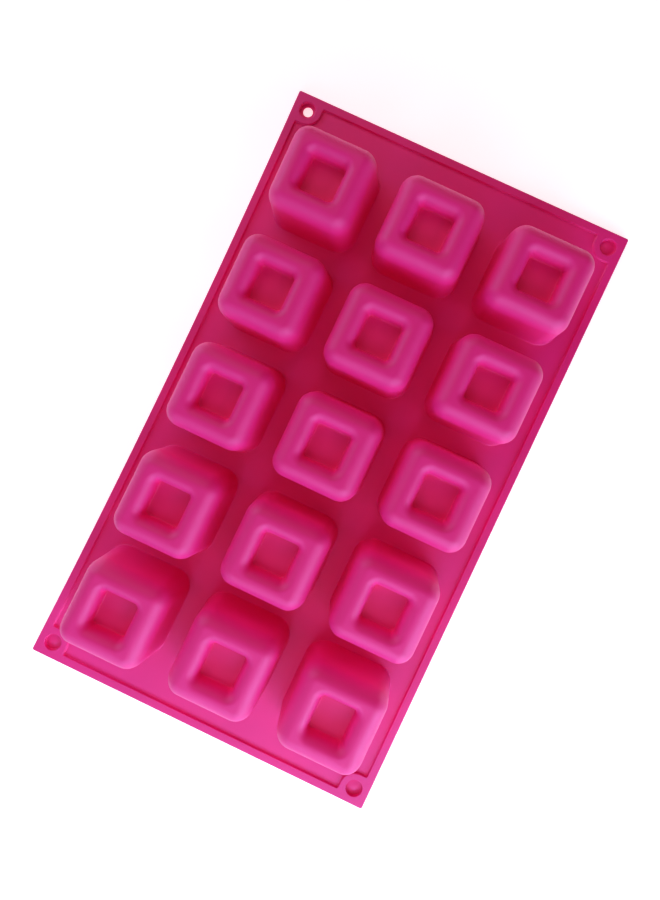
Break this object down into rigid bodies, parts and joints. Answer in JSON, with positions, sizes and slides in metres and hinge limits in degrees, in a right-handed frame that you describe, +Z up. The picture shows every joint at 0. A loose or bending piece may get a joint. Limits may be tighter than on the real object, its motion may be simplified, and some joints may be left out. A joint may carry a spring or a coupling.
{
  "type": "silicone cavity mould",
  "caption": "Flexible silicone mould sheet with a grid of square cavities, each with a square boss in its floor; lies face down.",
  "frame": {"origin": "centre of the sheet's underside, the plane of the cavity mouths, which it lies on", "axes": "+X along the long side, with the pierced hanging eyelet at +X +Y; +Y along the short side; +Z up, out of the backs of the cups"},
  "size_m": [0.3, 0.175, 0.035],
  "materials": {
    "silicone": "satin moulded silicone, slightly translucent"
  },
  "bodies": {
    "root": {"deck": "silicone", "rim": "silicone", "hanging_eyelet": "silicone", "corner_pad_right": "silicone", "corner_pad_left": "silicone", "corner_pad_far": "silicone", "cup_r1_c1": "silicone", "cup_r1_c2": "silicone", "cup_r1_c3": "silicone", "cup_r2_c1": "silicone", "cup_r2_c2": "silicone", "cup_r2_c3": "silicone", "cup_r3_c1": "silicone", "cup_r3_c2": "silicone", "cup_r3_c3": "silicone", "cup_r4_c1": "silicone", "cup_r4_c2": "silicone", "cup_r4_c3": "silicone", "cup_r5_c1": "silicone", "cup_r5_c2": "silicone", "cup_r5_c3": "silicone"}
  },
  "joints": []
}
